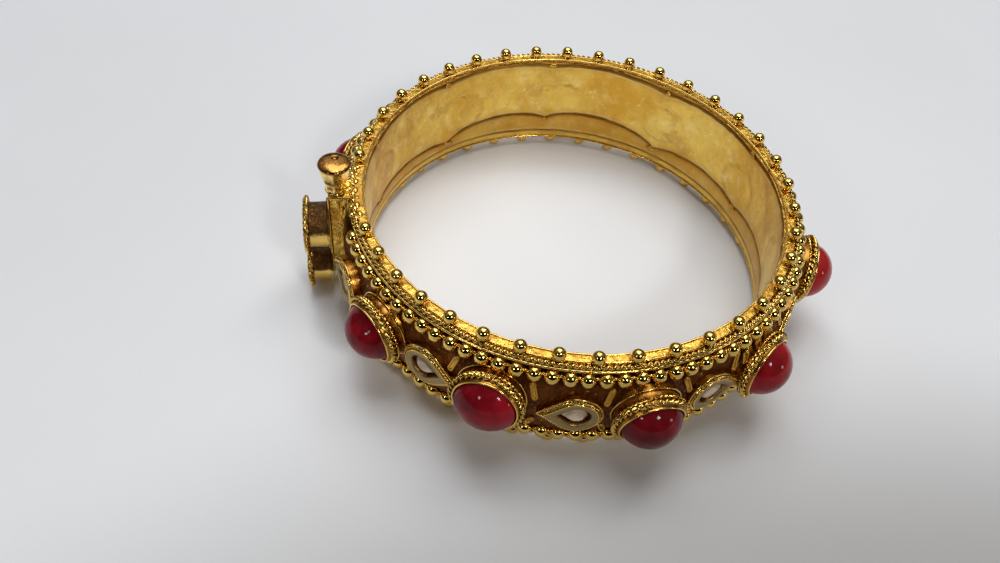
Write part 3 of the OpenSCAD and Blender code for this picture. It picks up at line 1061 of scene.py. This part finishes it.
bars = {
    "length": 2.4, "wide": 0.56, "wire": 0.3, "ballD": 0.62, "tongue": 0.3, "offset": 9.1, "r": 31.58, "z": 3.1,
    "lean": -17, "splay": 16, "extraR": 32.75,
    "extra": ((121.8, 3.3, 0.8, 1.5), (125.8, 4.1, 0.5, 1.5), (129.6, 4.15, 0.5, 1.9)),  # angle, z, length, width
}


def slotPath(wide, long, steps):  # round a slot that lies in the YZ plane
    path = []
    reach = (long - wide) / 2
    for step in range(steps):
        turn = tau * (step + 0.5) / steps
        outward = Vector((0, math.sin(turn), math.cos(turn)))
        shift = reach if outward.z > 0 else -reach
        path.append(((outward * wide / 2 + Vector((0.15, 0, shift))) * mm, outward, Vector((1, 0, 0))))
    return path


def makeBars():
    hairpin = loopWire("hairpin", slotPath(bars["wide"], bars["length"], 48), bars["wire"])
    tongue = boxOf("tongue", (bars["tongue"], bars["wide"] + 0.1, bars["length"] - 0.3))
    editAll(tongue, (bpy.ops.mesh.bevel, {"offset": 0.05 * mm, "segments": 2, "affect": "EDGES"}))
    ball = ballOf("ballEnd", bars["ballD"] / 2, 12, 8, (0.2, 0, bars["length"] / 2 - 0.05))
    master = smooth(joined([hairpin, tongue, ball], "bar"), 50)
    places = []
    for k, (angle, _, _, _) in enumerate(rubies):
        for side in (1, -1):
            if k == 0 and side == 1:  # the photo shows none there
                continue
            for way in (-1, 1):
                turn = angle + way * (bars["offset"] + random.uniform(-0.2, 0.2))
                lean = leaning(bars["lean"]) @ leaning(way * bars["splay"], "X")
                places.append(aroundClasp(turn) @ flipped(side) @ standing(bars["r"], bars["z"]) @ lean)
    for angle, z, long, wide in bars["extra"]:
        stand = standing(bars["extraR"] - z * 0.25, z) @ leaning(bars["lean"])
        places.append(aroundClasp(angle) @ stand @ Matrix.Diagonal((1, wide, long, 1)))
    scatter(master, places, "slopeBars", barGold)


makeBars()
print("bars are ready")


# the clasp: knuckle block, two round settings on a plate

clasp = {
    "blockIn": 29.3, "blockOut": 33.4, "width": 3.2, "blockTop": 7.5, "blockLow": -6.8, "boreR": 0.8, "boreOut": 32.35,
    "railZ": 0.35, "railDepth": 14.1, "backRailDepth": 13.9, "railR": 0.24, "capR": 0.2,
    "plateR": 36.1, "lobes": ((2.0, 3.8, 2.3), (-5.7, 3.0, 1.65)),  # height, the lobe's radius, the stone's radius
    "ropeTwist": 4.4, "granules": 27, "granulesFrom": -15.5, "granulesSpan": 26,
}


def makeBlock():
    deep = clasp["blockOut"] - clasp["blockIn"]
    low, high = clasp["blockLow"], clasp["blockTop"]
    block = boxOf("claspBlock", (deep, clasp["width"], high - low), (clasp["blockIn"] + deep / 2, 0, (low + high) / 2))
    editAll(block, (bpy.ops.mesh.subdivide, {"number_cuts": 40}))
    applied(block, "BEVEL", width=0.14 * mm, segments=2, limit_method="ANGLE")
    spots = pointsOf(block)
    spots[:, 1] *= 1 + 0.035 * wavering(spots, 0.9, 41.0)
    setPoints(block, spots)
    pinHole = rodOf("pinHole", clasp["boreR"], 18, (clasp["boreOut"], 0, 0), 32)  # the screw's pin slides in it
    applied(block, "BOOLEAN", operation="DIFFERENCE", solver="EXACT", object=pinHole)
    bpy.data.objects.remove(pinHole)
    finishPiece(settle(smooth(mend(block), 45), aroundClasp(claspTurn)), grainGold)

    rails = []
    back = clasp["blockIn"] + 1.55
    middle = clasp["blockIn"] + 0.7 + deep / 2
    for y in (-clasp["width"] / 2, clasp["width"] / 2):
        rails += [
            rodOf("rail", clasp["railR"], clasp["railDepth"], (clasp["blockOut"], y, clasp["railZ"]), 14),
            rodOf("rail", clasp["capR"], clasp["backRailDepth"], (back, y, clasp["railZ"]), 12),
            rodOf("cap", clasp["capR"], deep - 1.2, (middle, y, high - 0.12), 12, math.pi / 2)]
    rail = smooth(joined(rails, "claspRails"), 60)
    finishPiece(settle(rail, aroundClasp(claspTurn)), beadGold)


def makePlate():
    collets, plates, ropes, rings = [], [], [], []
    deep = clasp["plateR"] - clasp["blockOut"]
    for z, lobe, stone in clasp["lobes"]:
        collets.append(spun("collet", [
            (lobe - 0.45, 0.05), (lobe - 0.42, 0.3), (lobe - 0.62, 0.42), (lobe - 0.65, 0.7), (lobe - 0.65, deep - 0.2),
            (lobe - 0.6, deep), (1.0, deep), (1.0, 0.05)], 64))
        plates.append(spun("plate", [
            (lobe - 0.1, deep), (lobe, deep + 0.1), (lobe, deep + 0.55), (lobe - 0.1, deep + 0.7),
            (lobe - 0.55, deep + 0.7), (stone + 0.42, deep + 0.62), (stone + 0.3, deep + 0.8),
            (stone + 0.14, deep + 0.8), (stone + 0.05, deep + 0.65), (stone + 0.05, deep + 0.1),
            (0.4, deep + 0.1), (0.4, deep)], 64))
        for far, thick, spot in ((lobe - 0.02, 0.62, deep + 0.35), (lobe - 0.3, 0.48, deep + 0.6)):
            turns = round(far * clasp["ropeTwist"])
            ropes.append(loopWire("plateRope", ringPath(far, spot, turns * 12), thick, turns, 10))
        rings.append(loopWire("bezel", ringPath(stone + 0.22, deep + 0.72, 64), 0.3))
        for piece in (collets[-1], plates[-1], *ropes[-2:], rings[-1]):
            piece.matrix_world = onFace(0, clasp["blockOut"], 0, z)
    for pieces, name, degrees, material in (
            (collets, "claspCollets", 40, colletGold), (plates, "claspPlate", 40, collarGold),
            (ropes, "claspRopes", 75, wireGold), (rings, "claspRings", 75, beadGold)):
        finishPiece(mend(smooth(joined(pieces, name), degrees)), material)


def makeGranules():  # small balls and grains of gold beside the clasp, on both rims
    grain = smooth(ballOf("granule", 0.5, 12, 8), 80)
    places = []
    for k in range(clasp["granules"]):
        for side in (1, -1):
            share = (k + random.uniform(-0.25, 0.25)) / clasp["granules"]
            turn = clasp["granulesFrom"] + clasp["granulesSpan"] * share
            size = random.uniform(0.5, 1.0)
            row = k % 3
            r = 29.75 + 0.42 * row + random.uniform(-0.1, 0.1)
            z = 7.66 - (0, 0.05, 0.42)[row]
            grow = Matrix.Diagonal((size * random.uniform(0.8, 1.2), size * random.uniform(0.9, 1.6), size * 0.8, 1))
            places.append(aroundClasp(turn) @ standing(r, z * side) @ grow)
    scatter(grain, places, "claspGranules", beadGold)


makeBlock()
makePlate()
makeGranules()
print("clasp is ready")


# the screw

screw = {
    "radius": 32.35, "base": 7.6, "headD": 4.3, "facets": 9, "facetDeep": 0.022, "hammer": 0.012,
    "dent": (-0.1, -0.55), "dentR": 0.36, "dentDeep": 0.27,
}


def makeScrew():
    head = screw["headD"] / 2
    section = [
        (0.75, -14.3), (0.75, 0.0), (1.3, 0.0), (1.44, 0.08), (1.47, 0.26), (1.38, 0.42), (1.34, 0.6), (1.36, 1.1),
        (1.42, 1.5), (1.4, 1.62), (1.55, 1.74), (1.72, 2.1), (1.84, 2.7), (1.94, 3.4), (1.99, 3.95), (1.95, 4.08),
        (2.08, 4.14), (head, 4.24), (head, 4.36), (head - 0.05, 4.48), (2.0, 4.58), (1.85, 4.66), (1.7, 4.72),
        (1.55, 4.77), (1.4, 4.81), (1.25, 4.85), (1.1, 4.88), (0.98, 4.9), (0.88, 4.91), (0.78, 4.92), (0.68, 4.93),
        (0.58, 4.935), (0.48, 4.94), (0.38, 4.945), (0.28, 4.95), (0.18, 4.95), (0.08, 4.95), (0.02, 4.95),
        (0.02, -14.3)]
    piece = spun("screwPiece", section, 80)
    spots = pointsOf(piece)
    x, y = screw["dent"]
    far = numpy.hypot(spots[:, 0] / mm - x, spots[:, 1] / mm - y) / screw["dentR"]
    spots[:, 2] -= screw["dentDeep"] * mm * numpy.exp(-far ** 4) * (spots[:, 2] > 4.4 * mm)
    turn = numpy.arctan2(spots[:, 1], spots[:, 0])
    onNeck = (spots[:, 2] > 0.4 * mm) & (spots[:, 2] < 4.0 * mm)
    facet = 1 - screw["facetDeep"] * (1 - numpy.cos(turn * screw["facets"])) * onNeck
    beaten = 1 + screw["hammer"] * wavering(spots, 0.8, 21.0) * (spots[:, 2] > 0)
    spots[:, :2] *= (facet * beaten)[:, None]
    setPoints(piece, spots)
    settle(piece, aroundClasp(claspTurn) @ standing(screw["radius"], screw["base"]))
    finishPiece(smooth(piece, 35), screwGold, body="screw", slotName="screw_gold")
    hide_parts("screw")


makeScrew()
print("screw is ready")


# the flat stones stay as the frame gives them

for name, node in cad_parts.items():
    if name.startswith(("polki", "clasp_stone")):
        paint(node, polkiStone)

bpy.ops.mesh.primitive_plane_add(size=3, location=(0, 0, cadBox[0][2]))
floor = newest("paperFloor")
paint(floor, floorMaterial())

print("triangles", sum(pieceCount.values()), pieceCount)
